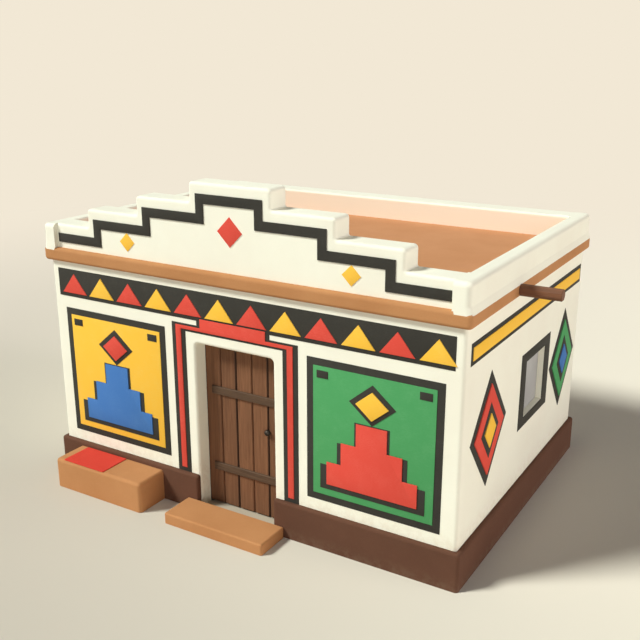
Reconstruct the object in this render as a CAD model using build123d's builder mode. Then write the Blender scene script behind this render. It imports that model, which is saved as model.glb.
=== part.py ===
from build123d import *
import os

os.makedirs("parts", exist_ok=True)

# The house stands on z = 0 with its plan centre on the origin. Its front faces -Y.
# All sizes are in millimetres.

# Walls of rammed mud
house_length = 5272
house_depth = 3810
wall_height = 2710
wall_thickness = 300
wall_corner_round = 42

# Doorway in the front wall
door_opening_width = 1030
door_opening_height = 2020
door_head_round = 48
door_recess = 178
reveal_round = 32
jamb_course_drop = 100

# Pivot-hung door
plank_count = 5
plank_pitch = 211
plank_gap = 12
plank_thickness = 40
plank_edge_chamfer = 9
leaf_front_gap = 8
leaf_side_gap = 8
leaf_head_lap = 12
leaf_top_gap = 8
leaf_floor_gap = 19
post_radius = 26
post_flat = 20
post_wall_gap = 8
pivot_radius = 14
pivot_clearance = 0.5
pivot_seat_gap = 0.3
lower_pivot_length = 34
upper_pivot_length = 44
upper_socket_gap = 4
batten_length = 860
batten_height = 93
batten_thickness = 26
batten_edge_round = 8
lower_batten_height = 458
upper_batten_height = 1398
knob_radius = 36
knob_rise = 55
knob_neck_radius = 17
knob_rose_radius = 29
knob_rose_thickness = 8
knob_height = 1080

# Lintels
lintel_height = 120
lintel_bearing = 150
window_lintel_height = 90
window_lintel_depth = 180

# Window in the right wall
window_width = 640
window_height = 655
window_sill_height = 1175
window_from_front = 1815
window_recess = 70
window_rebate = 30
pane_thickness = 6
pane_lap = 20
frame_depth = 50
frame_width = 45

# Floor
floor_thickness = 20
pivot_stone_size = 96

# Plinth round the foot of the walls
plinth_height = 425
plinth_projection = 50
plinth_corner_round = 36
plinth_top_round = 30

# Roof
beam_count = 7
beam_radius = 65
beam_flat_rise = 55
beam_bearing = 150
beam_seat_gap = 0.3
cornice_height = 160
cornice_projection = 60
cornice_corner_round = 52
cornice_edge_round = 40

# Parapets
side_parapet_thickness = 176
parapet_overhang = 36
side_parapet_end = 58
parapet_height = 282
parapet_edge_round = 34
outer_corner_round = 60
outer_top_round = 52
step_rise = 214
step_half_widths = (1997, 1253, 515)
step_corner_round = 40
step_valley_round = 22
front_parapet_thickness = 300

# Timber end that stands out of the cornice on the right side
pole_radius = 58
pole_reach = 432
pole_from_front = 1250
pole_end_chamfer = 6

# Bench, its mat and the doorstep
bench_length = 1330
bench_depth = 420
bench_height = 370
bench_left_end = -2360
bench_corner_round = 45
bench_top_round = 40
bench_foot_round = 6
mat_length = 634
mat_depth = 406
mat_thickness = 10
mat_from_bench_end = 130
mat_from_plinth = 4
doorstep_length = 1322
doorstep_depth = 440
doorstep_height = 132
doorstep_corner_round = 24
doorstep_top_round = 22
doorstep_foot_round = 5

# Places that follow from the sizes above
half_length = house_length / 2
front_y = -house_depth / 2
back_y = house_depth / 2
room_front_y = front_y + wall_thickness
room_back_y = back_y - wall_thickness
room_half_length = half_length - wall_thickness
half_opening = door_opening_width / 2
shoulder_y = front_y + door_recess
jamb_course_height = door_opening_height - jamb_course_drop
leaf_half_width = plank_count * plank_pitch / 2
leaf_front_y = shoulder_y + leaf_front_gap
leaf_bottom = floor_thickness + leaf_floor_gap
leaf_top = door_opening_height + leaf_head_lap
pivot_x = -leaf_half_width - post_flat
pivot_y = shoulder_y + post_wall_gap + post_radius
rebate_left = pivot_x - post_radius - post_wall_gap
rebate_right = leaf_half_width + leaf_side_gap
rebate_width = rebate_right - rebate_left
rebate_depth = wall_thickness - door_recess
rebate_middle = (rebate_left + rebate_right) / 2
lintel_bottom = leaf_top + leaf_top_gap
window_y = front_y + window_from_front
window_middle_y = window_y + window_width / 2
window_middle_z = window_sill_height + window_height / 2
window_inner_width = window_width + 2 * window_rebate
window_inner_height = window_height + 2 * window_rebate
pane_face_x = half_length - window_recess
window_head = window_sill_height + window_height + window_rebate
cornice_top = wall_height + cornice_height
parapet_top = cornice_top + parapet_height
beam_axis_z = wall_height - beam_flat_rise
beam_pitch = 2 * room_half_length / beam_count
beam_places = [(i - (beam_count - 1) / 2) * beam_pitch for i in range(beam_count)]
side_parapet_x = half_length + parapet_overhang - side_parapet_thickness / 2
between_parapets = 2 * (side_parapet_x - side_parapet_thickness / 2)
front_parapet_back_y = front_y + front_parapet_thickness
pole_y = front_y + pole_from_front
pole_z = wall_height + cornice_height / 2
plinth_face_y = front_y - plinth_projection

front_plane = Plane.XZ.offset(-front_y)
shoulder_plane = Plane.XZ.offset(-shoulder_y)


def save(piece, name):
    """Label a finished piece and write it to a file of its own."""
    piece.part.label = name
    export_step(piece.part, f"parts/{name}.step")


def edges_near(piece, axis, place, reach=1.0):
    """The edges whose middles lie in the plane at this place along an axis."""
    return piece.edges().filter_by_position(axis, place - reach, place + reach)


# Beaten earth floor: a room-sized slab with a tongue through the doorway,
# let down round the stone that carries the door's foot.
with BuildPart() as earth_floor:
    with BuildSketch():
        Rectangle(2 * room_half_length, room_back_y - room_front_y)
        with Locations((0, front_y)):
            Rectangle(door_opening_width, wall_thickness, align=(Align.CENTER, Align.MIN))
        with Locations((rebate_middle, shoulder_y)):
            Rectangle(rebate_width, rebate_depth, align=(Align.CENTER, Align.MIN))
        with Locations((rebate_left, shoulder_y)):
            Rectangle(pivot_stone_size, pivot_stone_size, align=(Align.MIN, Align.MIN), mode=Mode.SUBTRACT)
    extrude(amount=floor_thickness)
save(earth_floor, "earth_floor")

# Pivot stone, flush with the floor, with the socket that the door's foot turns in.
with BuildPart() as pivot_stone:
    with BuildSketch():
        with Locations((rebate_left, shoulder_y)):
            Rectangle(pivot_stone_size, pivot_stone_size, align=(Align.MIN, Align.MIN))
    extrude(amount=floor_thickness)
    with BuildSketch(Plane.XY.offset(leaf_bottom - lower_pivot_length - pivot_seat_gap)):
        with Locations((pivot_x, pivot_y)):
            Circle(pivot_radius + pivot_clearance)
    extrude(amount=floor_thickness, mode=Mode.SUBTRACT)
save(pivot_stone, "pivot_stone")


def jamb_wall(side, rebate_edge):
    """Front wall beside the doorway, with a round outer corner and reveal and a rebate inside."""
    with BuildPart() as wall:
        with BuildSketch():
            with BuildLine():
                Polyline(
                    (side * half_length, front_y),
                    (side * half_opening, front_y),
                    (side * half_opening, shoulder_y),
                    (rebate_edge, shoulder_y),
                    (rebate_edge, room_front_y),
                    (side * half_length, room_front_y),
                    close=True,
                )
            make_face()
        extrude(amount=jamb_course_height)
        front_arrises = wall.edges().filter_by(Axis.Z).group_by(Axis.Y)[0]
        outer = front_arrises.sort_by(Axis.X)[0 if side < 0 else -1]
        reveal = front_arrises.sort_by(Axis.X)[-1 if side < 0 else 0]
        fillet(outer, wall_corner_round)
        fillet(reveal, reveal_round)
    return wall


front_wall_left = jamb_wall(-1, rebate_left)
save(front_wall_left, "front_wall_left")
front_wall_right = jamb_wall(1, rebate_right)
save(front_wall_right, "front_wall_right")


def pocket_outlines(wall_face_y):
    """Round-bottomed outlines of the pockets that hold the roof beams' ends in a wall."""
    with BuildSketch(Plane.XZ.offset(-wall_face_y)) as pockets:
        with Locations(*[(x, beam_axis_z) for x in beam_places]):
            Circle(beam_radius + beam_seat_gap)
            Rectangle(
                2 * (beam_radius + beam_seat_gap), beam_flat_rise + 1, align=(Align.CENTER, Align.MIN)
            )
    return pockets.sketch


# Front wall over the doorway: the round-cornered head, the rebate that the leaf
# shuts against, the lintel's bed and the pockets of the roof beams.
with BuildPart() as front_wall_over_door:
    with BuildSketch(front_plane):
        with Locations((0, jamb_course_height)):
            Rectangle(
                house_length, wall_height - jamb_course_height, align=(Align.CENTER, Align.MIN)
            )
            head_opening = Rectangle(
                door_opening_width,
                door_opening_height - jamb_course_height,
                align=(Align.CENTER, Align.MIN),
                mode=Mode.SUBTRACT,
            )
        fillet(head_opening.vertices().group_by(Axis.Y)[-1], door_head_round)
    extrude(amount=-wall_thickness)
    outer_arrises = front_wall_over_door.edges().filter_by(Axis.Z).group_by(Axis.Y)[0]
    fillet([outer_arrises.sort_by(Axis.X)[0], outer_arrises.sort_by(Axis.X)[-1]], wall_corner_round)
    head_edges = edges_near(front_wall_over_door, Axis.Y, front_y)
    head_edges = head_edges.filter_by_position(Axis.X, -half_opening - 1, half_opening + 1)
    fillet(
        head_edges.filter_by_position(Axis.Z, jamb_course_height, door_opening_height + 1), reveal_round
    )
    with BuildSketch(shoulder_plane):
        with Locations((rebate_middle, jamb_course_height)):
            Rectangle(
                rebate_width, lintel_bottom - jamb_course_height, align=(Align.CENTER, Align.MIN)
            )
        with Locations((rebate_middle, lintel_bottom)):
            Rectangle(
                rebate_width + 2 * lintel_bearing, lintel_height, align=(Align.CENTER, Align.MIN)
            )
    extrude(amount=-rebate_depth, mode=Mode.SUBTRACT)
    extrude(pocket_outlines(room_front_y), amount=beam_bearing, mode=Mode.SUBTRACT)
save(front_wall_over_door, "front_wall_over_door")

# Timber lintel over the door, with the socket for the door's top pivot.
with BuildPart() as door_lintel:
    with BuildSketch(shoulder_plane):
        with Locations((rebate_middle, lintel_bottom)):
            Rectangle(
                rebate_width + 2 * lintel_bearing, lintel_height, align=(Align.CENTER, Align.MIN)
            )
    extrude(amount=-rebate_depth)
    with BuildSketch(Plane.XY.offset(lintel_bottom)):
        with Locations((pivot_x, pivot_y)):
            Circle(pivot_radius + pivot_clearance)
    extrude(amount=upper_pivot_length - leaf_top_gap + upper_socket_gap, mode=Mode.SUBTRACT)
save(door_lintel, "door_lintel")

# Back wall
with BuildPart() as back_wall:
    with BuildSketch():
        with Locations((0, back_y)):
            Rectangle(house_length, wall_thickness, align=(Align.CENTER, Align.MAX))
    extrude(amount=wall_height)
    fillet(back_wall.edges().filter_by(Axis.Z).group_by(Axis.Y)[-1], wall_corner_round)
    extrude(pocket_outlines(room_back_y), amount=-beam_bearing, mode=Mode.SUBTRACT)
save(back_wall, "back_wall")

# Left wall
with BuildPart() as left_wall:
    with BuildSketch():
        with Locations((-half_length, 0)):
            Rectangle(wall_thickness, room_back_y - room_front_y, align=(Align.MIN, Align.CENTER))
    extrude(amount=wall_height)
save(left_wall, "left_wall")

window_plane = Plane.YZ.offset(half_length)

# Right wall with the window: a square reveal outside, a wider rebate inside
# that takes the pane and its frame, and a bed for the lintel over them.
with BuildPart() as right_wall:
    with BuildSketch():
        with Locations((half_length, 0)):
            Rectangle(wall_thickness, room_back_y - room_front_y, align=(Align.MAX, Align.CENTER))
    extrude(amount=wall_height)
    with BuildSketch(window_plane):
        with Locations((window_middle_y, window_middle_z)):
            Rectangle(window_width, window_height)
    extrude(amount=-wall_thickness, mode=Mode.SUBTRACT)
    with BuildSketch(window_plane.offset(-window_recess)):
        with Locations((window_middle_y, window_middle_z)):
            Rectangle(window_inner_width, window_inner_height)
    extrude(amount=window_recess - wall_thickness, mode=Mode.SUBTRACT)
    with BuildSketch(window_plane.offset(window_lintel_depth - wall_thickness)):
        with Locations((window_middle_y, window_head)):
            Rectangle(
                window_inner_width + 2 * lintel_bearing,
                window_lintel_height,
                align=(Align.CENTER, Align.MIN),
            )
    extrude(amount=-window_lintel_depth, mode=Mode.SUBTRACT)
save(right_wall, "right_wall")

# Timber lintel over the window
with BuildPart() as window_lintel:
    with BuildSketch(window_plane.offset(window_lintel_depth - wall_thickness)):
        with Locations((window_middle_y, window_head)):
            Rectangle(
                window_inner_width + 2 * lintel_bearing,
                window_lintel_height,
                align=(Align.CENTER, Align.MIN),
            )
    extrude(amount=-window_lintel_depth)
save(window_lintel, "window_lintel")

# Window pane, bedded against the back of the reveal
with BuildPart() as window_pane:
    with BuildSketch(Plane.YZ.offset(pane_face_x)):
        with Locations((window_middle_y, window_middle_z)):
            Rectangle(window_width + 2 * pane_lap, window_height + 2 * pane_lap)
    extrude(amount=-pane_thickness)
save(window_pane, "window_pane")

# Timber frame that holds the pane from inside
with BuildPart() as window_frame:
    with BuildSketch(Plane.YZ.offset(pane_face_x - pane_thickness)):
        with Locations((window_middle_y, window_middle_z)):
            Rectangle(window_inner_width, window_inner_height)
            Rectangle(
                window_inner_width - 2 * frame_width,
                window_inner_height - 2 * frame_width,
                mode=Mode.SUBTRACT,
            )
    extrude(amount=-frame_depth)
save(window_frame, "window_frame")


def front_plinth(side):
    """Plinth on the front, from the house corner to the doorway, rounded on top and at both ends."""
    with BuildPart() as plinth:
        with BuildSketch():
            with Locations((side * half_opening, front_y)):
                Rectangle(
                    half_length + plinth_projection - half_opening,
                    plinth_projection,
                    align=(Align.MAX if side < 0 else Align.MIN, Align.MAX),
                )
        extrude(amount=plinth_height)
        fillet(plinth.edges().filter_by(Axis.Z).group_by(Axis.Y)[0], plinth_corner_round)
        top = plinth.edges().group_by(Axis.Z)[-1]
        fillet(top.filter_by_position(Axis.Y, front_y - plinth_projection, front_y - 1), plinth_top_round)
    return plinth


plinth_front_left = front_plinth(-1)
save(plinth_front_left, "plinth_front_left")
plinth_front_right = front_plinth(1)
save(plinth_front_right, "plinth_front_right")

# Plinth along the back
with BuildPart() as plinth_back:
    with BuildSketch():
        with Locations((0, back_y)):
            Rectangle(
                house_length + 2 * plinth_projection, plinth_projection, align=(Align.CENTER, Align.MIN)
            )
    extrude(amount=plinth_height)
    fillet(plinth_back.edges().filter_by(Axis.Z).group_by(Axis.Y)[-1], plinth_corner_round)
    plinth_back_top = plinth_back.edges().group_by(Axis.Z)[-1]
    fillet(
        plinth_back_top.filter_by_position(Axis.Y, back_y + 1, back_y + plinth_projection),
        plinth_top_round,
    )
save(plinth_back, "plinth_back")


def side_plinth(side):
    """Plinth along a side wall, with its top outer edge rounded."""
    with BuildPart() as plinth:
        with BuildSketch():
            with Locations((side * half_length, 0)):
                Rectangle(
                    plinth_projection,
                    house_depth,
                    align=(Align.MAX if side < 0 else Align.MIN, Align.CENTER),
                )
        extrude(amount=plinth_height)
        top = plinth.edges().filter_by(Axis.Y).group_by(Axis.Z)[-1]
        fillet(top.sort_by(Axis.X)[0 if side < 0 else -1], plinth_top_round)
    return plinth


plinth_left = side_plinth(-1)
save(plinth_left, "plinth_left")
plinth_right = side_plinth(1)
save(plinth_right, "plinth_right")

# Roof beams: round poles hewn flat on top, their ends bedded in the front and back walls.
with BuildPart() as roof_beams:
    with BuildSketch(Plane.XZ.offset(-(room_front_y - beam_bearing))):
        with Locations(*[(x, beam_axis_z) for x in beam_places]):
            Circle(beam_radius)
        with Locations((0, wall_height)):
            Rectangle(house_length, beam_radius, align=(Align.CENTER, Align.MIN), mode=Mode.SUBTRACT)
    extrude(amount=-(room_back_y - room_front_y + 2 * beam_bearing))
save(roof_beams, "roof_beams")

# Mud roof slab, laid on the beams inside the cornice
with BuildPart() as roof_slab:
    with BuildSketch(Plane.XY.offset(wall_height)):
        Rectangle(2 * room_half_length, room_back_y - room_front_y)
    extrude(amount=cornice_height)
save(roof_slab, "roof_slab")


def end_cornice(side):
    """Cornice over the front or back wall, standing out of it and round both corners."""
    with BuildPart() as cornice:
        with BuildSketch(Plane.XY.offset(wall_height)):
            with Locations((0, side * (house_depth / 2 + cornice_projection))):
                Rectangle(
                    house_length + 2 * cornice_projection,
                    wall_thickness + cornice_projection,
                    align=(Align.CENTER, Align.MIN if side < 0 else Align.MAX),
                )
        extrude(amount=cornice_height)
        fillet(
            cornice.edges().filter_by(Axis.Z).group_by(Axis.Y)[0 if side < 0 else -1],
            cornice_corner_round,
        )
        outline = cornice.edges().filter_by(Axis.Z, reverse=True)
        inner_edge = edges_near(cornice, Axis.Y, side * (house_depth / 2 - wall_thickness))
        fillet(outline - inner_edge, cornice_edge_round)
    return cornice


cornice_front = end_cornice(-1)
save(cornice_front, "cornice_front")
cornice_back = end_cornice(1)
save(cornice_back, "cornice_back")


def side_cornice(side, with_pole):
    """Cornice over a side wall; the right one is cut through for the timber end."""
    with BuildPart() as cornice:
        with BuildSketch(Plane.XY.offset(wall_height)):
            with Locations((side * (half_length + cornice_projection), 0)):
                Rectangle(
                    wall_thickness + cornice_projection,
                    room_back_y - room_front_y,
                    align=(Align.MIN if side < 0 else Align.MAX, Align.CENTER),
                )
        extrude(amount=cornice_height)
        fillet(
            cornice.edges().filter_by(Axis.Y).group_by(Axis.X)[0 if side < 0 else -1],
            cornice_edge_round,
        )
        if with_pole:
            with BuildSketch(Plane.YZ.offset(room_half_length)):
                with Locations((pole_y, pole_z)):
                    RegularPolygon(pole_radius, 8, major_radius=False, rotation=22.5)
            extrude(amount=wall_thickness + cornice_projection, mode=Mode.SUBTRACT)
    return cornice


cornice_left = side_cornice(-1, with_pole=False)
save(cornice_left, "cornice_left")
cornice_right = side_cornice(1, with_pole=True)
save(cornice_right, "cornice_right")

# Eight-sided timber end through the right cornice, its outer arrises taken off
with BuildPart() as roof_pole:
    with BuildSketch(Plane.YZ.offset(room_half_length)):
        with Locations((pole_y, pole_z)):
            RegularPolygon(pole_radius, 8, major_radius=False, rotation=22.5)
    extrude(amount=wall_thickness + cornice_projection + pole_reach)
    chamfer(roof_pole.edges().group_by(Axis.X)[-1], pole_end_chamfer)
save(roof_pole, "roof_pole")

# Front parapet: stepped up from both sides to the middle. The outline's corners
# are rounded first, then its front and back edges.
step_outline = [(-between_parapets / 2, cornice_top), (-between_parapets / 2, parapet_top)]
for number, half_width in enumerate(step_half_widths):
    step_outline.append((-half_width, parapet_top + number * step_rise))
    step_outline.append((-half_width, parapet_top + (number + 1) * step_rise))
step_outline += [(-x, z) for x, z in reversed(step_outline)]
highest_step = parapet_top + len(step_half_widths) * step_rise


def step_ends(outline, risers_up):
    """The outline's corners at the foot (0) or at the top (1) of every riser."""
    ends = ShapeList()
    for number, half_width in enumerate(step_half_widths):
        height = parapet_top + (number + risers_up) * step_rise
        for x in (-half_width, half_width):
            ends += outline.vertices().filter_by_position(Axis.X, x - 1, x + 1).filter_by_position(
                Axis.Y, height - 1, height + 1
            )
    return ends


with BuildPart() as front_parapet:
    with BuildSketch(front_plane) as stepped_face:
        with BuildLine():
            Polyline(*step_outline, close=True)
        make_face()
        fillet(step_ends(stepped_face, 1), step_corner_round)
        fillet(step_ends(stepped_face, 0), step_valley_round)
    extrude(amount=-front_parapet_thickness)
    rims = edges_near(front_parapet, Axis.Y, front_y)
    rims += edges_near(front_parapet, Axis.Y, front_parapet_back_y)
    rims = rims.filter_by_position(Axis.Z, parapet_top - 1, highest_step + 1)
    fillet(rims, parapet_edge_round)
save(front_parapet, "front_parapet")

# Back parapet, level from end to end
with BuildPart() as back_parapet:
    with BuildSketch(Plane.XY.offset(cornice_top)):
        with Locations((0, room_back_y)):
            Rectangle(
                between_parapets,
                wall_thickness + parapet_overhang,
                align=(Align.CENTER, Align.MIN),
            )
    extrude(amount=parapet_height)
    long_top_edges = back_parapet.edges().filter_by(Axis.X).group_by(Axis.Z)[-1].sort_by(Axis.Y)
    fillet(long_top_edges[0], parapet_edge_round)
    fillet(long_top_edges[-1], outer_top_round)
save(back_parapet, "back_parapet")


def side_parapet(side):
    """Parapet over a side wall, its ends standing a little proud of the front and back.

    Its outer corners and top are rounded right round. Its inner top edge is rounded
    only between the front and back parapets, so that their tops run into its own.
    """
    inner_x = side * between_parapets / 2
    inward = Align.MIN if side > 0 else Align.MAX
    with BuildPart() as parapet:
        with BuildSketch(Plane.XY.offset(cornice_top)):
            with Locations((side * side_parapet_x, 0)):
                Rectangle(side_parapet_thickness, house_depth + 2 * side_parapet_end)
        extrude(amount=parapet_height)
        fillet(
            parapet.edges().filter_by(Axis.Z).group_by(Axis.X)[-1 if side > 0 else 0],
            outer_corner_round,
        )
        top_edges = parapet.edges().group_by(Axis.Z)[-1]
        fillet(top_edges - edges_near(parapet, Axis.X, inner_x), outer_top_round)
        with BuildSketch(Plane.XZ.offset(-front_parapet_back_y)):
            with Locations((inner_x, parapet_top)):
                Rectangle(parapet_edge_round, parapet_edge_round, align=(inward, Align.MAX))
            with Locations((inner_x + side * parapet_edge_round, parapet_top - parapet_edge_round)):
                Circle(parapet_edge_round, mode=Mode.SUBTRACT)
        extrude(amount=-(room_back_y - front_parapet_back_y), mode=Mode.SUBTRACT)
    return parapet


left_parapet = side_parapet(-1)
save(left_parapet, "left_parapet")
right_parapet = side_parapet(1)
save(right_parapet, "right_parapet")

# Hanging post of the door: a round stile with a flat for the planks and a pivot
# turned on each end.
with BuildPart() as door_post:
    with BuildSketch(Plane.XY.offset(leaf_bottom)):
        with Locations((pivot_x, pivot_y)):
            Circle(post_radius)
        with Locations((pivot_x + post_flat, pivot_y)):
            Rectangle(
                post_radius, 2 * post_radius, align=(Align.MIN, Align.CENTER), mode=Mode.SUBTRACT
            )
    extrude(amount=leaf_top - leaf_bottom)
    with BuildSketch(Plane.XY.offset(leaf_bottom - lower_pivot_length)):
        with Locations((pivot_x, pivot_y)):
            Circle(pivot_radius)
    extrude(amount=lower_pivot_length)
    with BuildSketch(Plane.XY.offset(leaf_top)):
        with Locations((pivot_x, pivot_y)):
            Circle(pivot_radius)
    extrude(amount=upper_pivot_length)
save(door_post, "door_post")

# Planks of the leaf, with taken-off arrises at the joints; the first one is
# fixed to the flat of the post.
with BuildPart() as door_planks:
    for number in range(plank_count):
        left = -leaf_half_width + number * plank_pitch + (plank_gap / 2 if number else 0)
        right = -leaf_half_width + (number + 1) * plank_pitch - plank_gap / 2
        with BuildSketch(Plane.XY.offset(leaf_bottom)) as plank:
            with Locations((left, leaf_front_y)):
                Rectangle(right - left, plank_thickness, align=(Align.MIN, Align.MIN))
            chamfer(plank.vertices(), plank_edge_chamfer)
        extrude(amount=leaf_top - leaf_bottom)
save(door_planks, "door_planks")


def batten(height):
    """Ledge across the planks, its outer arrises softened."""
    with BuildPart() as ledge:
        with BuildSketch(Plane.XZ.offset(-leaf_front_y)):
            with Locations((0, height)):
                Rectangle(batten_length, batten_height, align=(Align.CENTER, Align.MIN))
        extrude(amount=batten_thickness)
        fillet(ledge.edges().group_by(Axis.Y)[0], batten_edge_round)
    return ledge


upper_batten = batten(upper_batten_height)
save(upper_batten, "upper_batten")
lower_batten = batten(lower_batten_height)
save(lower_batten, "lower_batten")

# Turned knob on its rose, over the joint of the last two planks
knob_x = leaf_half_width - plank_pitch
with BuildPart() as door_knob:
    with BuildSketch(Plane((knob_x, leaf_front_y, knob_height))):
        with BuildLine():
            CenterArc((0, knob_radius - knob_rise), knob_radius, -90, 90)
            Polyline(
                (knob_radius, knob_radius - knob_rise),
                (knob_neck_radius, -knob_rose_thickness),
                (knob_rose_radius, -knob_rose_thickness),
                (knob_rose_radius, 0),
                (0, 0),
                (0, -knob_rise),
            )
        make_face()
    revolve(axis=Axis((knob_x, leaf_front_y, knob_height), (0, 1, 0)))
save(door_knob, "door_knob")

# Mud bench against the plinth, left of the doorway
with BuildPart() as bench:
    with BuildSketch():
        with Locations((bench_left_end, plinth_face_y)):
            Rectangle(bench_length, bench_depth, align=(Align.MIN, Align.MAX))
    extrude(amount=bench_height)
    fillet(bench.edges().filter_by(Axis.Z).group_by(Axis.Y)[0], bench_corner_round)
    bench_top = bench.edges().group_by(Axis.Z)[-1]
    fillet(bench_top - edges_near(bench, Axis.Y, plinth_face_y), bench_top_round)
    bench_foot = bench.edges().group_by(Axis.Z)[0]
    fillet(bench_foot - edges_near(bench, Axis.Y, plinth_face_y), bench_foot_round)
save(bench, "bench")

# Woven mat laid on the bench
with BuildPart() as bench_mat:
    with BuildSketch(Plane.XY.offset(bench_height)):
        with Locations((bench_left_end + mat_from_bench_end, plinth_face_y - mat_from_plinth)):
            Rectangle(mat_length, mat_depth, align=(Align.MIN, Align.MAX))
    extrude(amount=mat_thickness)
save(bench_mat, "bench_mat")

# Mud doorstep in front of the doorway
with BuildPart() as doorstep:
    with BuildSketch():
        with Locations((0, plinth_face_y)):
            Rectangle(doorstep_length, doorstep_depth, align=(Align.CENTER, Align.MAX))
    extrude(amount=doorstep_height)
    fillet(doorstep.edges().filter_by(Axis.Z), doorstep_corner_round)
    fillet(doorstep.edges().group_by(Axis.Z)[-1], doorstep_top_round)
    fillet(doorstep.edges().group_by(Axis.Z)[0], doorstep_foot_round)
save(doorstep, "doorstep")
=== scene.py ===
import math

import bpy
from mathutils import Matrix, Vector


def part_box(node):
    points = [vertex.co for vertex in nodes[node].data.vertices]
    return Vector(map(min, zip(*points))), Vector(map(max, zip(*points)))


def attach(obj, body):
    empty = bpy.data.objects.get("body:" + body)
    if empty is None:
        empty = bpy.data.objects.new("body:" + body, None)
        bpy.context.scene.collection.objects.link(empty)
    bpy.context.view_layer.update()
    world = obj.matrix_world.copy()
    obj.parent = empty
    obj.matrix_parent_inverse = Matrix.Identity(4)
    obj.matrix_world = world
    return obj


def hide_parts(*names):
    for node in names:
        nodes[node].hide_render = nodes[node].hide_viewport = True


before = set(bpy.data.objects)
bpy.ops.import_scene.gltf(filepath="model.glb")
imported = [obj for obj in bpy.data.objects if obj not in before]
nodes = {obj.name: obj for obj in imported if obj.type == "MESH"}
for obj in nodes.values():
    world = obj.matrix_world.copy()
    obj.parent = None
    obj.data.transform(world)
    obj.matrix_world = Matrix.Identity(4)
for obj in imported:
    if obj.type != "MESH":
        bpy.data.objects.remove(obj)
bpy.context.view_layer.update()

# Camera: a 50 mm lens at the photograph's height and angle, looking down on the
# front and on the wall with the window from beyond the front right corner.
lens = bpy.data.cameras.new("camera")
lens.sensor_width = 36
lens.lens = 50
camera = bpy.data.objects.new("camera", lens)
camera.location = (5.4097, -9.0915, 5.1643)
camera.rotation_euler = (math.radians(72.6555), 0, math.radians(31.0261))
bpy.context.scene.collection.objects.link(camera)
bpy.context.scene.camera = camera
bpy.context.scene.view_settings.view_transform = "Standard"

# Studio: a plain sand-coloured floor that turns into the pale surround far from the
# house, a soft sun from the front left and low soft fills from the right and the front.


def hex_colour(code):
    """An sRGB hex colour as linear red, green, blue and alpha."""
    parts = [int(code[i : i + 2], 16) / 255 for i in (1, 3, 5)]
    return tuple(c / 12.92 if c <= 0.04045 else ((c + 0.055) / 1.055) ** 2.4 for c in parts) + (1,)


def add(tree, kind, values=(), links=(), **settings):
    """Add one shader node, set its options and socket values, and link its inputs."""
    node = tree.nodes.new("ShaderNode" + kind)
    for name, value in settings.items():
        setattr(node, name, value)
    for socket, value in dict(values).items():
        node.inputs[socket].default_value = value
    for socket, source in dict(links).items():
        tree.links.new(source, node.inputs[socket])
    return node


def blank(name):
    """A new material that holds no node yet, and its node tree."""
    material = bpy.data.materials.new(name)
    material.use_nodes = True
    material.node_tree.nodes.clear()
    return material, material.node_tree


pale_sand = hex_colour("#F2E8D5")
bpy.ops.object.select_all(action="DESELECT")
bpy.ops.mesh.primitive_plane_add(size=240)
floor = bpy.context.object
floor.name = "studio_floor"
swept_floor, tree = blank("swept_floor")
place = add(tree, "TexCoord")
from_house = add(tree, "VectorMath", links={0: place.outputs["Object"]}, operation="LENGTH")
far = add(tree, "MapRange", {"From Min": 4.0, "From Max": 20.0}, {"Value": from_house.outputs["Value"]},
          interpolation_type="SMOOTHSTEP")
ray = add(tree, "LightPath")
seen = add(tree, "Math", links={0: far.outputs[0], 1: ray.outputs["Is Camera Ray"]}, operation="MULTIPLY")
ground = add(tree, "BsdfDiffuse", {"Color": hex_colour("#DED7CA"), "Roughness": 1.0})
haze = add(tree, "Emission", {"Color": pale_sand, "Strength": 1.0})
mixed = add(tree, "MixShader", links={0: seen.outputs[0], 1: ground.outputs[0], 2: haze.outputs[0]})
add(tree, "OutputMaterial", links={"Surface": mixed.outputs[0]})
floor.data.materials.append(swept_floor)

surround = bpy.data.worlds.new("surround")
surround.use_nodes = True
tree = surround.node_tree
tree.nodes.clear()
ray = add(tree, "LightPath")
dim = add(tree, "Background", {"Color": hex_colour("#F4F9FF"), "Strength": 0.12})
pale = add(tree, "Background", {"Color": pale_sand, "Strength": 1.0})
shiny = add(tree, "Math", links={0: ray.outputs["Is Camera Ray"], 1: ray.outputs["Is Glossy Ray"]},
            operation="MAXIMUM")
clear = add(tree, "Math", links={0: shiny.outputs[0], 1: ray.outputs["Is Transmission Ray"]},
            operation="MAXIMUM")
mixed = add(tree, "MixShader", links={0: clear.outputs[0], 1: dim.outputs[0], 2: pale.outputs[0]})
add(tree, "OutputWorld", links={"Surface": mixed.outputs[0]})
bpy.context.scene.world = surround

# Each lamp: its strength, its width and two turns in degrees, and its tint.
for name, strength, width, tilt, turn, tint in (
    ("low_sun", 3.54, 14, 45, -47, "#FBFFF8"),
    ("right_fill", 1.62, 25, 86, 103, "#FFF6F4"),
    ("front_fill", 1.02, 40, 85, 31, "#FFFBF7"),
):
    lamp = bpy.data.lights.new(name, "SUN")
    lamp.energy = strength
    lamp.angle = math.radians(width)
    lamp.color = hex_colour(tint)[:3]
    holder = bpy.data.objects.new(name, lamp)
    holder.rotation_euler = (math.radians(tilt), 0, math.radians(turn))
    bpy.context.scene.collection.objects.link(holder)

# Walls: coursed mud under a skin of mud plaster, smoothed in level sweeps about a palm
# wide and limewashed warm white. The thin wash lets the mud tint it in patches, and rain
# has splashed mud on its foot.


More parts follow.
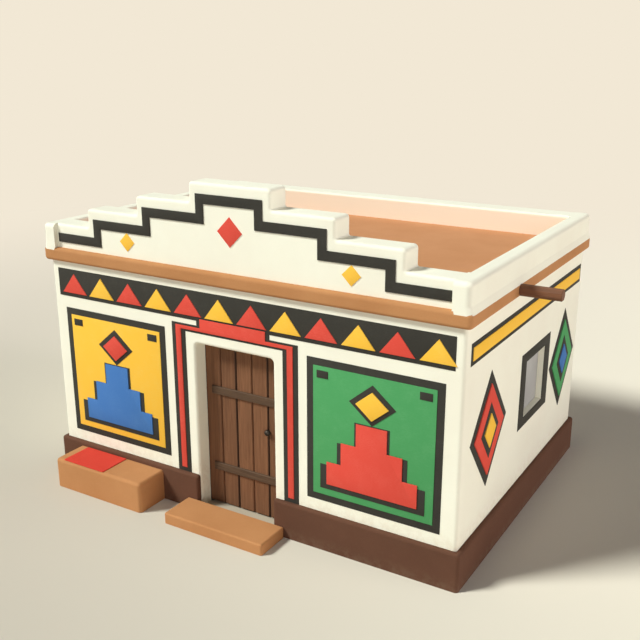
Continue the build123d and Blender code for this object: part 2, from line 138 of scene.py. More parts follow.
def earthen(name, colour, patch, grit, sweep_mm, patch_share=0.6, sweep_depth=0.004, over=()):
    """Hand-smoothed earth: cloudy patches where it dried unevenly, sweeps of the palm that
    run level, and grit of about 5 mm, as coarse as it has to be to show. What is over it,
    if anything, is a function that paints on it, with that function's sizes and colour."""
    patches_per_metre = 1.4
    grains_per_metre = 190.0
    material, tree = blank(name)
    place = add(tree, "TexCoord").outputs["Object"]
    clouds = add(tree, "TexNoise", {"Scale": patches_per_metre, "Detail": 5.0, "Roughness": 0.6},
                 {"Vector": place})
    cloud = add(tree, "MapRange", {"From Min": 0.40, "From Max": 0.68, "To Max": patch_share},
                {"Value": clouds.outputs[0]})
    level = add(tree, "Mapping", {"Scale": (0.35, 0.35, 1.0)}, {"Vector": place})
    sweeps = add(tree, "TexNoise",
                 {"Scale": 1000 / sweep_mm, "Detail": 3.0, "Roughness": 0.5, "Distortion": 0.4},
                 {"Vector": level.outputs[0]})
    grains = add(tree, "TexNoise", {"Scale": grains_per_metre, "Detail": 3.0, "Roughness": 0.7},
                 {"Vector": place})
    speck = add(tree, "MapRange", {"From Min": 0.50, "From Max": 0.78, "To Max": 0.55},
                {"Value": grains.outputs[0]})
    tone = add(tree, "Mix", {6: hex_colour(colour), 7: hex_colour(patch)}, {0: cloud.outputs[0]},
               data_type="RGBA").outputs[2]
    tone = add(tree, "Mix", {7: hex_colour(grit)}, {0: speck.outputs[0], 6: tone},
               data_type="RGBA").outputs[2]
    if over:
        paint_on, *sizes = over
        tone = paint_on(tree, place, tone, *sizes)
    swept = add(tree, "Bump", {"Strength": 0.35, "Distance": sweep_depth}, {"Height": sweeps.outputs[0]})
    gritty = add(tree, "Bump", {"Strength": 0.25, "Distance": 0.0012},
                 {"Height": grains.outputs[0], "Normal": swept.outputs[0]})
    skin = add(tree, "BsdfPrincipled", {"Roughness": 0.92, "Specular IOR Level": 0.25},
               {"Base Color": tone, "Normal": gritty.outputs[0]})
    add(tree, "OutputMaterial", links={"Surface": skin.outputs[0]})
    return material


def rain_splash(tree, place, tone, low, high, mud):
    """Mud that rain throws up from the ground, in spots that thin out from one height to
    another."""
    spots_per_metre = 14.0
    height = add(tree, "SeparateXYZ", links={0: place}).outputs["Z"]
    foot = add(tree, "MapRange", {"From Min": low, "From Max": high, "To Min": 1.0, "To Max": 0.0},
               {"Value": height}, interpolation_type="SMOOTHSTEP")
    spots = add(tree, "TexNoise", {"Scale": spots_per_metre, "Detail": 8.0, "Roughness": 0.75},
                {"Vector": place})
    spot = add(tree, "MapRange", {"From Min": 0.42, "From Max": 0.60, "To Max": 0.22},
               {"Value": spots.outputs[0]})
    stain = add(tree, "Math", links={0: foot.outputs[0], 1: spot.outputs[0]}, operation="MULTIPLY")
    return add(tree, "Mix", {7: hex_colour(mud)}, {0: stain.outputs[0], 6: tone}, data_type="RGBA").outputs[2]


def coat(material, *names):
    """Give a finish to pieces of the solid model."""
    for name in names:
        nodes[name].data.materials.clear()
        nodes[name].data.materials.append(material)


limewash_colours = ("#FCFAE9", "#F7F2E1", "#ECE4CF")
palm_mm = 90
limewash = earthen("limewashed_mud_plaster", *limewash_colours, palm_mm,
                   over=(rain_splash, 0.40, 0.66, "#CDB08C"))
coat(limewash, "front_wall_left", "front_wall_right", "front_wall_over_door", "left_wall", "right_wall",
     "back_wall")

# Parapets: the same limewashed plaster. The faces that look in on the roof are painted a
# darker peach, as painted light thrown back from the mud roof and painted shade.


def paint_roof_bounce_inside(tree, place, tone, half_sizes, laid_colour):
    """Painted bounce light and painted shade: a peach colour laid on all that lies within a
    block about the origin, with a soft edge just inside the block's faces."""
    soft_edge = 0.008
    reach = add(tree, "VectorMath", links={0: place}, operation="ABSOLUTE")
    past = add(tree, "VectorMath", {1: half_sizes}, {0: reach.outputs[0]}, operation="SUBTRACT")
    past = add(tree, "SeparateXYZ", links={0: past.outputs[0]})
    furthest = add(tree, "Math", links={0: past.outputs["X"], 1: past.outputs["Y"]}, operation="MAXIMUM")
    furthest = add(tree, "Math", links={0: furthest.outputs[0], 1: past.outputs["Z"]}, operation="MAXIMUM")
    share = add(tree, "MapRange", {"From Min": 0.0, "From Max": -soft_edge}, {"Value": furthest.outputs[0]})
    return add(tree, "Mix", {7: hex_colour(laid_colour)}, {0: share.outputs[0], 6: tone},
               data_type="RGBA").outputs[2]


inside_parapets = (2.503, 1.612, 3.143)
# Painted bounce light and shade: the parapets' inner faces get a darker peach colour.
parapet_plaster_and_bounce = earthen("limewashed_parapet_plaster", *limewash_colours, palm_mm,
                       over=(paint_roof_bounce_inside, inside_parapets, "#F4E3CF"))
coat(parapet_plaster_and_bounce, "front_parapet", "back_parapet", "left_parapet", "right_parapet")

# Feet of the parapets: where a parapet stands over the rounded top of the cornice, its
# plaster is drawn out and down on to it with the palm, so that no rain gets in under it.
proud = 0.0003
rise = 0.050
drop = 0.031
drawn_out = 0.0225
corner_round = 0.060
for node, aside, behind in (("left_parapet", -1, 0), ("right_parapet", 1, 0), ("back_parapet", 0, 1)):
    low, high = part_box(node)
    bpy.ops.object.select_all(action="DESELECT")
    bpy.ops.mesh.primitive_cube_add(size=1, location=((low[0] + high[0]) / 2, (low[1] + high[1]) / 2,
                                                      low[2] + (rise - drop) / 2))
    foot = bpy.context.object
    foot.scale = (high[0] - low[0] + 2 * proud, high[1] - low[1] + 2 * proud, rise + drop)
    bpy.ops.object.transform_apply(location=True, rotation=True, scale=True)
    bpy.ops.object.mode_set(mode="EDIT")
    bpy.ops.mesh.select_mode(type="EDGE")
    bpy.ops.mesh.select_all(action="DESELECT")
    bpy.ops.object.mode_set(mode="OBJECT")
    for edge in foot.data.edges:
        ends = [foot.data.vertices[number].co for number in edge.vertices]
        upright = abs(ends[0].z - ends[1].z) > drop
        edge.select = upright and aside * ends[0].x > abs(low[0] + high[0]) / 2
    bpy.ops.object.mode_set(mode="EDIT")
    if aside:
        bpy.ops.mesh.bevel(offset=corner_round, segments=8, affect="EDGES")
    bpy.ops.mesh.select_mode(type="FACE")
    bpy.ops.mesh.select_all(action="DESELECT")
    bpy.ops.object.mode_set(mode="OBJECT")
    for face in foot.data.polygons:
        face.select = face.normal.z < -0.9
    bpy.ops.object.mode_set(mode="EDIT")
    bpy.ops.transform.translate(value=(aside * drawn_out, behind * drawn_out, 0))
    bpy.ops.object.mode_set(mode="OBJECT")
    bpy.ops.object.shade_smooth_by_angle(angle=math.radians(40))
    foot.name = f"{node}_foot"
    foot.data.name = foot.name
    foot.data.materials.append(limewash)
    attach(foot, "house")

# Plinth: a thicker band of mud round the foot of the walls, washed dark brown against
# splashing rain and rounded over on top.
brown_wash = earthen("brown_washed_mud", "#634232", "#57392A", "#755241", 110,
                     over=(rain_splash, 0.0, 0.16, "#8F7962"))
coat(brown_wash, "plinth_front_left", "plinth_front_right", "plinth_left", "plinth_right", "plinth_back")

# Doorstep and bench: bare tan mud, patchy and gritty, smoothed wet in narrow sweeps of
# the hand.
tan_colours = ("#C08859", "#B47B4D", "#CF9F72")
hand_mm = 70
tan_mud = earthen("smoothed_tan_mud", *tan_colours, hand_mm, patch_share=0.7, sweep_depth=0.006)
coat(tan_mud, "doorstep", "bench")

# Cornice: the same tan mud, laid over the heads of the walls. On the sides and the back
# the limewash of the parapets laps down over its rounded upper edge.


def lapped(tree, place, tone, side, front, back, height, laid_colour):
    """A wash that runs down to one height, past the sides and the back but not in front,
    and ends there in a line that the brush left a little uneven."""
    brush_marks_per_metre = 7.0
    wander = 0.006
    axes = add(tree, "SeparateXYZ", links={0: place})
    aside = add(tree, "Math", links={0: axes.outputs["X"]}, operation="ABSOLUTE")
    aside = add(tree, "Math", {1: side}, {0: aside.outputs[0]}, operation="SUBTRACT")
    behind = add(tree, "Math", {1: back}, {0: axes.outputs["Y"]}, operation="SUBTRACT")
    outside = add(tree, "Math", links={0: aside.outputs[0], 1: behind.outputs[0]}, operation="MAXIMUM")
    outside = add(tree, "Math", {1: 0.0}, {0: outside.outputs[0]}, operation="GREATER_THAN")
    covered = add(tree, "Math", {1: front}, {0: axes.outputs["Y"]}, operation="GREATER_THAN")
    outside = add(tree, "Math", links={0: outside.outputs[0], 1: covered.outputs[0]}, operation="MULTIPLY")
    brush = add(tree, "TexNoise", {"Scale": brush_marks_per_metre, "Detail": 2.0}, {"Vector": place})
    edge = add(tree, "MapRange", {"To Min": height - wander, "To Max": height + wander},
               {"Value": brush.outputs[0]})
    above = add(tree, "Math", links={0: axes.outputs["Z"], 1: edge.outputs[0]}, operation="GREATER_THAN")
    share = add(tree, "Math", links={0: outside.outputs[0], 1: above.outputs[0]}, operation="MULTIPLY")
    return add(tree, "Mix", {7: hex_colour(laid_colour)}, {0: share.outputs[0], 6: tone},
               data_type="RGBA").outputs[2]


cornice_mud = earthen("limewash_lapped_tan_mud", *tan_colours, hand_mm, patch_share=0.7, sweep_depth=0.006,
                      over=(lapped, 2.640, -1.935, 1.909, 2.845, "#FBF8E9"))
coat(cornice_mud, "cornice_front", "cornice_back", "cornice_left", "cornice_right")

# Roof: mud trodden and beaten in thin coats with a flat board, paler where it has dried.
# Its last coat runs over the cornices as far as the parapets, and is a little uneven from
# the beating.
board_mm = 160
beaten_mud = earthen("beaten_mud", "#CF9368", "#C5885B", "#DCAA80", board_mm, patch_share=0.7,
                     sweep_depth=0.008)
coat(beaten_mud, "roof_slab")
sunk = 0.002
under_parapets = 0.001
coat_thickness = 0.006
unevenness = 0.008
roof_low, roof_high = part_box("back_parapet")
bpy.ops.object.select_all(action="DESELECT")
bpy.ops.mesh.primitive_plane_add(size=2, location=(0, 0, roof_low[2] - sunk))
roof_coat = bpy.context.object
roof_coat.scale = (roof_high[0] + under_parapets, roof_low[1] + under_parapets, 1)
bpy.ops.object.transform_apply(location=True, rotation=True, scale=True)
bpy.ops.object.mode_set(mode="EDIT")
bpy.ops.mesh.select_all(action="SELECT")
bpy.ops.mesh.subdivide(number_cuts=63)
bpy.ops.mesh.extrude_region_move(TRANSFORM_OT_translate={"value": (0, 0, coat_thickness)})
bpy.ops.object.mode_set(mode="OBJECT")
beating = bpy.data.textures.new("beating", "CLOUDS")
beating.noise_scale = 0.45
uneven = roof_coat.modifiers.new("uneven", "DISPLACE")
uneven.texture = beating
uneven.texture_coords = "LOCAL"
uneven.direction = "Z"
uneven.mid_level = 0.0
uneven.strength = unevenness
bpy.ops.object.modifier_apply(modifier="uneven")
bpy.ops.object.mode_set(mode="EDIT")
bpy.ops.mesh.select_all(action="SELECT")
bpy.ops.mesh.normals_make_consistent(inside=False)
bpy.ops.object.mode_set(mode="OBJECT")
bpy.ops.object.shade_smooth_by_angle(angle=math.radians(40))
roof_coat.name = "roof_coat"
roof_coat.data.name = "roof_coat"
roof_coat.data.materials.append(beaten_mud)
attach(roof_coat, "house")

# Floor: earth beaten hard with the same flat board and then swept. It is grey with the
# dust that feet bring in.
swept_earth = earthen("swept_beaten_earth", "#B9AE9C", "#AB9F8C", "#C9BFAE", board_mm, patch_share=0.7)
coat(swept_earth, "earth_floor")

# Pivot stone: a small dressed block of grey granite, set flush in the floor. Its
# crystals, about 4 mm across, and the marks of the pick give it a speckled, rough face.
crystals_per_metre = 260.0
granite, tree = blank("dressed_granite")
place = add(tree, "TexCoord").outputs["Object"]
crystals = add(tree, "TexVoronoi", {"Scale": crystals_per_metre}, {"Vector": place}).outputs["Distance"]
tone = add(tree, "Mix", {6: hex_colour("#8C877E"), 7: hex_colour("#5B5650")}, {0: crystals}, data_type="RGBA")
pecked = add(tree, "Bump", {"Strength": 0.4, "Distance": 0.001}, {"Height": crystals})
skin = add(tree, "BsdfPrincipled", {"Roughness": 0.7},
           {"Base Color": tone.outputs[2], "Normal": pecked.outputs[0]})
add(tree, "OutputMaterial", links={"Surface": skin.outputs[0]})
coat(granite, "pivot_stone")

# Structure timbers: hewn palm poles that carry the roof, and sawn lintels and frame.
# Their figure is about a thumb wide and runs level.


def timber(name, pale, dark, along, figure_mm, boards=None):
    """Sawn or hewn timber: figure and fibres drawn out along one axis, with darker checks.
    Where it is made of boards, of one pitch from a first edge, each board has a tone and a figure
    of its own, and the first edge and every second joint get a dark band, grime and painted shade."""
    fibres_per_metre = 420.0
    lengthwise = 0.045
    material, tree = blank(name)
    place = add(tree, "TexCoord").outputs["Object"]
    if boards:
        pitch, first = boards
        across = add(tree, "SeparateXYZ", links={0: place}).outputs["X"]
        count = add(tree, "Math", {1: -first}, {0: across}, operation="ADD")
        joint = add(tree, "Math", {1: pitch}, {0: count.outputs[0]}, operation="PINGPONG")
        count = add(tree, "Math", {1: pitch}, {0: count.outputs[0]}, operation="DIVIDE")
        count = add(tree, "Math", links={0: count.outputs[0]}, operation="FLOOR")
        chance = add(tree, "TexWhiteNoise", links={"W": count.outputs[0]}, noise_dimensions="1D")
        slide = add(tree, "VectorMath", {1: (3.0, 5.0, 7.0)}, {0: chance.outputs["Color"]},
                    operation="MULTIPLY")
        place = add(tree, "VectorMath", links={0: place, 1: slide.outputs[0]}, operation="ADD").outputs[0]
    run = [1.0, 1.0, 1.0]
    run[along] = lengthwise
    drawn = add(tree, "Mapping", {"Scale": run}, {"Vector": place})
    figure = add(tree, "TexNoise",
                 {"Scale": 1000 / figure_mm, "Detail": 4.0, "Roughness": 0.55, "Distortion": 0.7},
                 {"Vector": drawn.outputs[0]})
    fibres = add(tree, "TexNoise", {"Scale": fibres_per_metre, "Detail": 2.0, "Roughness": 0.6},
                 {"Vector": drawn.outputs[0]})
    broad = add(tree, "MapRange", {"From Min": 0.30, "From Max": 0.70}, {"Value": figure.outputs[0]})
    check = add(tree, "MapRange", {"From Min": 0.34, "From Max": 0.26, "To Max": 0.6},
                {"Value": fibres.outputs[0]})
    tone = add(tree, "Mix", {6: hex_colour(dark), 7: hex_colour(pale)}, {0: broad.outputs[0]},
               data_type="RGBA").outputs[2]
    tone = add(tree, "Mix", {7: hex_colour("#2C1D14")}, {0: check.outputs[0], 6: tone},
               data_type="RGBA").outputs[2]
    if boards:
        shade = add(tree, "MapRange", {"To Min": 0.86, "To Max": 1.08}, {"Value": chance.outputs["Value"]})
        tone = add(tree, "VectorMath", links={0: tone, "Scale": shade.outputs[0]},
                   operation="SCALE").outputs[0]
        # Partly grime and partly painted shade in the grooves: a dark band along the first edge and every
        # second joint.
        joint_grime_and_shade = add(tree, "MapRange", {"From Min": 0.013, "From Max": 0.017, "To Min": 0.72, "To Max": 0.0},
                    {"Value": joint.outputs[0]})
        tone = add(tree, "Mix", {7: hex_colour("#2F2017")}, {0: joint_grime_and_shade.outputs[0], 6: tone},
                   data_type="RGBA").outputs[2]
    grain = add(tree, "Bump", {"Strength": 0.5, "Distance": 0.0012}, {"Height": figure.outputs[0]})
    hair = add(tree, "Bump", {"Strength": 0.4, "Distance": 0.0006},
               {"Height": fibres.outputs[0], "Normal": grain.outputs[0]})
    skin = add(tree, "BsdfPrincipled", {"Roughness": 0.72, "Specular IOR Level": 0.35},
               {"Base Color": tone, "Normal": hair.outputs[0]})
    add(tree, "OutputMaterial", links={"Surface": skin.outputs[0]})
    return material


along_x = 0
along_y = 1
along_z = 2
palm_pole = timber("hewn_palm_pole", "#A98462", "#7B5A3E", along_y, 26)
coat(palm_pole, "roof_beams", "window_lintel", "window_frame")
lintel_timber = timber("hewn_lintel", "#9A7350", "#6C4A30", along_x, 26)
coat(lintel_timber, "door_lintel")

# Timber end in the right cornice: an eight-sided hardwood pole, oiled and sun-browned,
# with a finer figure than the palm poles have.
browned_pole = timber("sun_browned_pole", "#7D5138", "#63402B", along_x, 16)
coat(browned_pole, "roof_pole")

# Door leaf: five pit-sawn hardwood planks and the round post they hang on, oiled brown,
# each plank with a tone of its own.
plank_pitch = 0.211
leaf_left = -0.5275
planks = timber("oiled_hardwood_planks", "#83593D", "#68442D", along_z, 20, boards=(plank_pitch, leaf_left))
coat(planks, "door_planks", "door_post")

# Ledges of the door: two battens of a darker hardwood, fastened across the planks, with
# their figure running level.
ledge = timber("dark_hardwood_ledge", "#5F4836", "#4A3627", along_x, 16)
coat(ledge, "upper_batten", "lower_batten")

# Door knob: forged iron, blackened in the fire, with paler marks of scale about 8 mm
# across and the dents of the hammer.
scale_marks_per_metre = 120.0
iron, tree = blank("blackened_iron")
place = add(tree, "TexCoord").outputs["Object"]
scale_marks = add(tree, "TexNoise", {"Scale": scale_marks_per_metre, "Detail": 4.0}, {"Vector": place})
tone = add(tree, "Mix", {6: hex_colour("#2B2724"), 7: hex_colour("#46403A")}, {0: scale_marks.outputs[0]},
           data_type="RGBA")
hammered = add(tree, "Bump", {"Strength": 0.3, "Distance": 0.001}, {"Height": scale_marks.outputs[0]})
skin = add(tree, "BsdfPrincipled", {"Metallic": 0.8, "Roughness": 0.5},
           {"Base Color": tone.outputs[2], "Normal": hammered.outputs[0]})
add(tree, "OutputMaterial", links={"Surface": skin.outputs[0]})
coat(iron, "door_knob")

# Window pane: a sheet of grey obscured glass, wavy and a little dusty. Its waves are
# about a hand wide.
waves_per_metre = 9.0
glass, tree = blank("grey_obscured_glass")
place = add(tree, "TexCoord").outputs["Object"]
waves = add(tree, "TexNoise", {"Scale": waves_per_metre, "Detail": 2.0}, {"Vector": place})
tone = add(tree, "Mix", {6: hex_colour("#A3A2A3"), 7: hex_colour("#B0AFB0")}, {0: waves.outputs[0]},
           data_type="RGBA")
ripple = add(tree, "Bump", {"Strength": 0.3, "Distance": 0.004}, {"Height": waves.outputs[0]})
skin = add(tree, "BsdfPrincipled", {"Roughness": 0.28, "IOR": 1.5},
           {"Base Color": tone.outputs[2], "Normal": ripple.outputs[0]})
add(tree, "OutputMaterial", links={"Surface": skin.outputs[0]})
coat(glass, "window_pane")

# Frieze: a soot-black band under the cornice with twelve triangles in moulded plaster,
# red and yellow in turn, the last one running a finger's width over the band's end.
front_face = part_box("front_wall_right")[0][1]
right_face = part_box("right_wall")[1][0]


def earth_paint(name, colour, thin):
    """Limewater paint coloured with earth or soot: matt, brushed on in short strokes, a
    little thinner between them. The marks of the bristles are about 6 mm apart, as coarse
    as they have to be to show."""
    coats_per_metre = 5.0
    bristles_per_metre = 170.0
    material, tree = blank(name)
    place = add(tree, "TexCoord").outputs["Object"]
    coats = add(tree, "TexNoise", {"Scale": coats_per_metre, "Detail": 4.0, "Roughness": 0.6},
                {"Vector": place})
    drawn = add(tree, "Mapping", {"Scale": (0.25, 0.25, 1.0)}, {"Vector": place})
    bristles = add(tree, "TexNoise", {"Scale": bristles_per_metre, "Detail": 3.0, "Roughness": 0.6},
                   {"Vector": drawn.outputs[0]})
    worn = add(tree, "Math", links={0: coats.outputs[0], 1: bristles.outputs[0]}, operation="MULTIPLY")
    share = add(tree, "MapRange", {"From Min": 0.22, "From Max": 0.42, "To Max": 0.55},
                {"Value": worn.outputs[0]})
    tone = add(tree, "Mix", {6: hex_colour(colour), 7: hex_colour(thin)}, {0: share.outputs[0]},
               data_type="RGBA")
    strokes = add(tree, "Bump", {"Strength": 0.35, "Distance": 0.001}, {"Height": bristles.outputs[0]})
    skin = add(tree, "BsdfPrincipled", {"Roughness": 0.88, "Specular IOR Level": 0.25},
               {"Base Color": tone.outputs[2], "Normal": strokes.outputs[0]})
    add(tree, "OutputMaterial", links={"Surface": skin.outputs[0]})
    return material


def raise_relief(piece, name, wall, low, high, paint):
    """Turn a flat shape, drawn standing at y = 0, into relief: it is raised from one height
    off the wall to another, its front edge is softened, and it is set against its wall."""
    soft_edge = 0.0025
    bpy.ops.mesh.select_all(action="SELECT")
    bpy.ops.transform.translate(value=(0, -low, 0))
    bpy.ops.mesh.extrude_region_move(TRANSFORM_OT_translate={"value": (0, low - high, 0)})
    bpy.ops.mesh.region_to_loop()
    bpy.ops.mesh.bevel(offset=min(soft_edge, (high - low) * 0.6), segments=2, affect="EDGES")
    bpy.ops.mesh.select_all(action="SELECT")
    bpy.ops.mesh.normals_make_consistent(inside=False)
    bpy.ops.object.mode_set(mode="OBJECT")
    if wall == "front":
        piece.location.y = front_face
    else:
        piece.rotation_euler.z = math.pi / 2
        piece.location.x = right_face
    bpy.ops.object.transform_apply(location=True, rotation=True, scale=True)
    bpy.ops.object.shade_smooth_by_angle(angle=math.radians(40))
    piece.name = name
    piece.data.name = name
    piece.data.materials.append(paint)
    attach(piece, "house")


def straight_relief(name, wall, blocks, low, high, paint):
    """Relief whose edges are all upright or level, from blocks of (left, right, bottom, top).
    One sheet is cut along every block's edges and what lies outside them is taken away."""
    left = min(b[0] for b in blocks)
    right = max(b[1] for b in blocks)
    bottom = min(b[2] for b in blocks)
    top = max(b[3] for b in blocks)
    bpy.ops.object.select_all(action="DESELECT")
    bpy.ops.mesh.primitive_plane_add(size=1, location=((left + right) / 2, 0, (bottom + top) / 2),
                                     rotation=(math.pi / 2, 0, 0))
    piece = bpy.context.object
    piece.scale = (right - left, top - bottom, 1)
    bpy.ops.object.transform_apply(location=True, rotation=True, scale=True)
    bpy.ops.object.mode_set(mode="EDIT")
    for x in sorted({edge for b in blocks for edge in b[:2]} - {left, right}):
        bpy.ops.mesh.select_all(action="SELECT")
        bpy.ops.mesh.bisect(plane_co=(x, 0, 0), plane_no=(1, 0, 0))
    for z in sorted({edge for b in blocks for edge in b[2:]} - {bottom, top}):
        bpy.ops.mesh.select_all(action="SELECT")
        bpy.ops.mesh.bisect(plane_co=(0, 0, z), plane_no=(0, 0, 1))
    bpy.ops.mesh.select_all(action="DESELECT")
    bpy.ops.object.mode_set(mode="OBJECT")
    spare = False
    for face in piece.data.polygons:
        x, z = face.center.x, face.center.z
        face.select = not any(b[0] < x < b[1] and b[2] < z < b[3] for b in blocks)
        spare = spare or face.select
    bpy.ops.object.mode_set(mode="EDIT")
    bpy.ops.mesh.select_mode(type="FACE")
    if spare:
        bpy.ops.mesh.delete(type="FACE")
    bpy.ops.mesh.select_all(action="SELECT")
    bpy.ops.mesh.dissolve_limited(angle_limit=math.radians(1))
    raise_relief(piece, name, wall, low, high, paint)


def pointed_relief(name, wall, corners, middles, half_width, half_height, low, high, paint):
    """Relief diamonds (four corners) or triangles (three), one at each middle, as one piece."""
    bpy.ops.object.select_all(action="DESELECT")
    parts = []
    for x, z in middles:
        bpy.ops.mesh.primitive_circle_add(vertices=corners, radius=1, fill_type="NGON", location=(x, 0, z),
                                          rotation=(math.pi / 2, 0, 0))
        part = bpy.context.object
        reach = max(v.co.x for v in part.data.vertices)
        lift = max(v.co.y for v in part.data.vertices)
        drop = min(v.co.y for v in part.data.vertices)
        part.scale = (half_width / reach, 2 * half_height / (lift - drop), 1)
        part.location.z = z - part.scale.y * (lift + drop) / 2
        bpy.ops.object.transform_apply(location=True, rotation=True, scale=True)
        parts.append(part)
    bpy.ops.object.select_all(action="DESELECT")
    for part in parts:
        part.select_set(True)
    bpy.context.view_layer.objects.active = parts[0]
    if len(parts) > 1:
        bpy.ops.object.join()
    bpy.ops.object.mode_set(mode="EDIT")
    bpy.ops.mesh.select_mode(type="FACE")
    raise_relief(parts[0], name, wall, low, high, paint)


def centred(middle, half_width, bottom, top):
    """A block of straight relief that reaches as far to the left of its middle as to the right."""
    return (middle - half_width, middle + half_width, bottom, top)


soot_black = earth_paint("soot_black_paint", "#383631", "#43413C")
ochre_red = earth_paint("red_ochre_paint", "#DE4E40", "#E46152")
ochre_yellow = earth_paint("yellow_ochre_paint", "#FDC544", "#FBCB5C")

black_coat = 0.004
frieze_bottom = 2.2848
straight_relief("frieze_band", "front", [centred(0, 2.5376, frieze_bottom, 2.6201)],
                0.0, black_coat, soot_black)
first_tip = -2.283
tip_pitch = 0.4228
triangle_middle = 2.450
tips = [first_tip + tip_pitch * number for number in range(12)]
for colour, first, paint in (("red", 0, ochre_red), ("yellow", 1, ochre_yellow)):
    pointed_relief(f"frieze_{colour}_triangles", "front", 3, [(x, triangle_middle) for x in tips[first::2]],
                   0.189, 0.1175, black_coat, 0.013, paint)

# Wall panels: on each side of the doorway a black-bordered field with a stepped mound
# under a diamond, all laid on in coats of plaster so that each shape stands proud of the
# one behind it by up to a finger's thickness.
leaf_green = earth_paint("leaf_green_paint", "#4E9E60", "#5FA86E")
indigo_blue = earth_paint("indigo_blue_paint", "#4577BA", "#5584C0")
panel_middle = 1.692
field_coat = 0.010
shade_coat = 0.015
mound_coat = 0.026
mark_inner = 0.505
mark_outer = 0.638
mark_heights = (1.9395, 2.0195)
shade_steps = ((0.594, 0.7175, 0.993), (0.3965, 0.993, 1.271), (0.1975, 1.271, 1.541))
mound_steps = ((0.512, 0.779, 1.0325), (0.3455, 1.0325, 1.280), (0.1735, 1.280, 1.532))
for side, middle, field, mound, jewel in (
    ("left", -panel_middle, ochre_yellow, indigo_blue, ochre_red),
    ("right", panel_middle, leaf_green, ochre_red, ochre_yellow),
):
    straight_relief(f"panel_border_{side}", "front", [centred(middle, 0.7607, 0.5618, 2.1436)],
                    0.0, black_coat, soot_black)
    straight_relief(f"panel_field_{side}", "front", [centred(middle, 0.681, 0.643, 2.0645)],
                    black_coat, field_coat, field)
    straight_relief(f"panel_corner_marks_{side}", "front",
                    [(middle - mark_outer, middle - mark_inner, *mark_heights),
                     (middle + mark_inner, middle + mark_outer, *mark_heights)],
                    field_coat, shade_coat, soot_black)
    straight_relief(f"panel_mound_shade_{side}", "front", [centred(middle, *step) for step in shade_steps],
                    field_coat, shade_coat, soot_black)
    straight_relief(f"panel_mound_{side}", "front", [centred(middle, *step) for step in mound_steps],
                    shade_coat, mound_coat, mound)
    pointed_relief(f"panel_diamond_rim_{side}", "front", 4, [(middle, 1.760)], 0.262, 0.218,
                   field_coat, shade_coat, soot_black)
    pointed_relief(f"panel_diamond_{side}", "front", 4, [(middle, 1.7515)], 0.184, 0.153,
                   shade_coat, mound_coat, jewel)

# Door surround: a black band up both sides of the doorway and over it, raised in the
# middle to meet the frieze, with a narrower red band laid on it.
straight_relief("door_surround", "front",
                [(-0.825, -0.637, 0.425, 2.142), (0.637, 0.825, 0.425, 2.142),
                 centred(0, 0.825, 2.142, 2.229), centred(0, 0.479, 2.229, frieze_bottom)],
                0.0, black_coat, soot_black)
straight_relief("door_surround_red", "front",
                [(-0.7655, -0.6945, 0.478, 2.168), (0.6945, 0.7655, 0.478, 2.168),
                 centred(0, 0.7655, 2.168, 2.206), centred(0, 0.4275, 2.206, 2.3105)],
                black_coat, 0.013, ochre_red)

# Parapet band: a black stripe that follows the steps of the parapet a hand's width below
# its edge, with a red diamond in the middle and a small yellow one on each side.
band_end = 2.4703
band_depth = 0.1036
outer_risers = (1.903, 1.1625, 0.4205)
inner_risers = (1.8005, 1.0604, 0.3218)
band_tops = (3.0436, 3.2547, 3.4656, 3.6768)
band = [centred(0, outer_risers[2], band_tops[3] - band_depth, band_tops[3])]
for side in (-1, 1):
    tread_ends = (band_end,) + outer_risers
    for step in range(3):
        tread = sorted((side * inner_risers[step], side * tread_ends[step]))
        riser = sorted((side * inner_risers[step], side * outer_risers[step]))
        band.append((tread[0], tread[1], band_tops[step] - band_depth, band_tops[step]))
        band.append((riser[0], riser[1], band_tops[step], band_tops[step + 1]))
straight_relief("parapet_band", "front", band, 0.0, 0.012, soot_black)
pointed_relief("parapet_diamond", "front", 4, [(0.008, 3.308)], 0.157, 0.159, 0.0, 0.007, ochre_red)
pointed_relief("parapet_small_diamonds", "front", 4, [(-1.410, 3.046), (1.436, 3.042)], 0.105, 0.105,
               0.0, 0.007, ochre_yellow)

# Side wall stripe: a long black bar under the cornice with a yellow one laid on it.
# On this wall a block's left and right are places along +Y, counted here from the front.
front_line = -1.905
straight_relief("side_stripe", "right", [(front_line + 0.118, front_line + 3.735, 2.305, 2.531)],
                0.0, black_coat, soot_black)
straight_relief("side_stripe_yellow", "right", [(front_line + 0.160, front_line + 3.680, 2.351, 2.485)],
                black_coat, 0.012, ochre_yellow)

# Side wall diamonds: two tall ones, black, red, black and yellow at the front and black,
# green, black and blue at the back, stepped up towards their middles.
broad_coat = 0.016
eye_coat = 0.018
centre_coat = 0.028
eye_height = 1.448
for name, middle, broad, centre in (
    ("front", front_line + 0.7065, ochre_red, ochre_yellow),
    ("back", front_line + 3.193, leaf_green, indigo_blue),
):
    pointed_relief(f"side_diamond_rim_{name}", "right", 4, [(middle, 1.458)], 0.503, 0.636,
                   0.0, black_coat, soot_black)
    pointed_relief(f"side_diamond_{name}", "right", 4, [(middle, 1.452)], 0.403, 0.500,
                   black_coat, broad_coat, broad)
    pointed_relief(f"side_diamond_eye_{name}", "right", 4, [(middle, eye_height)], 0.238, 0.306,
                   broad_coat, eye_coat, soot_black)
    pointed_relief(f"side_diamond_centre_{name}", "right", 4, [(middle, eye_height)], 0.153, 0.190,
                   eye_coat, centre_coat, centre)

# Window surround: a flat black border laid round the opening in one coat, a little wider
# at its sides than under and over the window.
pane_left = front_line + 1.812
pane_right = front_line + 2.452
pane_bottom = 1.172
pane_top = 1.831
border_bottom = 1.061
border_top = 1.948
straight_relief("window_surround", "right",
                [(front_line + 1.640, pane_left, border_bottom, border_top),
                 (pane_right, front_line + 2.640, border_bottom, border_top),
                 (pane_left, pane_right, border_bottom, pane_bottom),
                 (pane_left, pane_right, pane_top, border_top)],
                0.0, black_coat, soot_black)

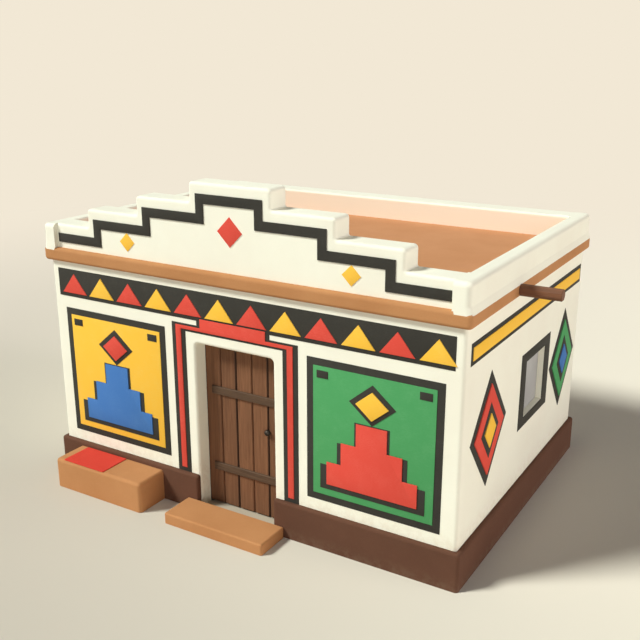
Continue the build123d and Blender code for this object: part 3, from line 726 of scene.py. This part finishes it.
# Mat: a flat red mat of plaited palm strips on the bench, about 8 mm thick, its corners
# a little rounded and its edges lifting where it no longer lies quite flat.
margin = 0.002
clear_of_bench = 0.0002
mat_thickness = 0.0075
columns = 40
rows = 25
low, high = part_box("bench_mat")
bpy.ops.object.select_all(action="DESELECT")
bpy.ops.mesh.primitive_plane_add(size=1, location=((low[0] + high[0]) / 2, (low[1] + high[1]) / 2,
                                                   low[2] + clear_of_bench))
mat = bpy.context.object
mat.scale = (high[0] - low[0] - margin, high[1] - low[1] - margin, 1)
bpy.ops.object.transform_apply(location=True, rotation=True, scale=True)
bpy.ops.object.mode_set(mode="EDIT")
bpy.ops.mesh.select_all(action="SELECT")
bpy.ops.mesh.bevel(offset=0.014, segments=4, affect="VERTICES")
for number in range(1, columns):
    bpy.ops.mesh.select_all(action="SELECT")
    bpy.ops.mesh.bisect(plane_co=(low[0] + number * (high[0] - low[0]) / columns, 0, 0), plane_no=(1, 0, 0))
for number in range(1, rows):
    bpy.ops.mesh.select_all(action="SELECT")
    bpy.ops.mesh.bisect(plane_co=(0, low[1] + number * (high[1] - low[1]) / rows, 0), plane_no=(0, 1, 0))
bpy.ops.mesh.select_all(action="SELECT")
bpy.ops.mesh.extrude_region_move(TRANSFORM_OT_translate={"value": (0, 0, mat_thickness)})
bpy.ops.mesh.region_to_loop()
bpy.ops.mesh.bevel(offset=0.003, segments=3, affect="EDGES")
bpy.ops.mesh.select_all(action="SELECT")
bpy.ops.mesh.normals_make_consistent(inside=False)
bpy.ops.object.mode_set(mode="OBJECT")
swell = bpy.data.textures.new("mat_swell", "CLOUDS")
swell.noise_scale = 0.11
lift = mat.modifiers.new("lift", "DISPLACE")
lift.texture = swell
lift.texture_coords = "LOCAL"
lift.direction = "Z"
lift.mid_level = 0.0
lift.strength = 0.0022
bpy.ops.object.modifier_apply(modifier="lift")
bpy.ops.object.shade_smooth_by_angle(angle=math.radians(50))
mat.name = "plaited_mat"
strip_mm = 9.0
strip_waves = 1000 * math.pi / (10 * strip_mm) / 2
plaited, tree = blank("plaited_palm_strip")
place = add(tree, "TexCoord").outputs["Object"]
cells = add(tree, "Mapping", {"Scale": (1000 / strip_mm, 1000 / strip_mm, 1.0)}, {"Vector": place})
turned = add(tree, "TexChecker", {"Scale": 1.0}, {"Vector": cells.outputs[0]})
across_x = add(tree, "TexWave", {"Scale": strip_waves}, {"Vector": place}, bands_direction="X")
across_y = add(tree, "TexWave", {"Scale": strip_waves}, {"Vector": place}, bands_direction="Y")
plait = add(tree, "Mix",
            links={0: turned.outputs["Fac"], 6: across_x.outputs["Fac"], 7: across_y.outputs["Fac"]},
            data_type="RGBA")
dye = add(tree, "TexNoise", {"Scale": 16.0, "Detail": 4.0}, {"Vector": place})
tone = add(tree, "Mix", {6: hex_colour("#DC392A"), 7: hex_colour("#E44937")}, {0: dye.outputs[0]},
           data_type="RGBA")
# Painted shade: the gaps between the plaited strips are painted a darker red.
gap_shade = add(tree, "MapRange", {"From Min": 0.0, "From Max": 0.35, "To Min": 0.5, "To Max": 0.0},
          {"Value": plait.outputs[2]})
tone = add(tree, "Mix", {7: hex_colour("#8C2A22")}, {0: gap_shade.outputs[0], 6: tone.outputs[2]}, data_type="RGBA")
raised = add(tree, "Bump", {"Strength": 0.6, "Distance": 0.002}, {"Height": plait.outputs[2]})
skin = add(tree, "BsdfPrincipled", {"Roughness": 0.8, "Specular IOR Level": 0.3},
           {"Base Color": tone.outputs[2], "Normal": raised.outputs[0]})
add(tree, "OutputMaterial", links={"Surface": skin.outputs[0]})
mat.data.materials.append(plaited)
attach(mat, "house")
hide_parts("bench_mat")
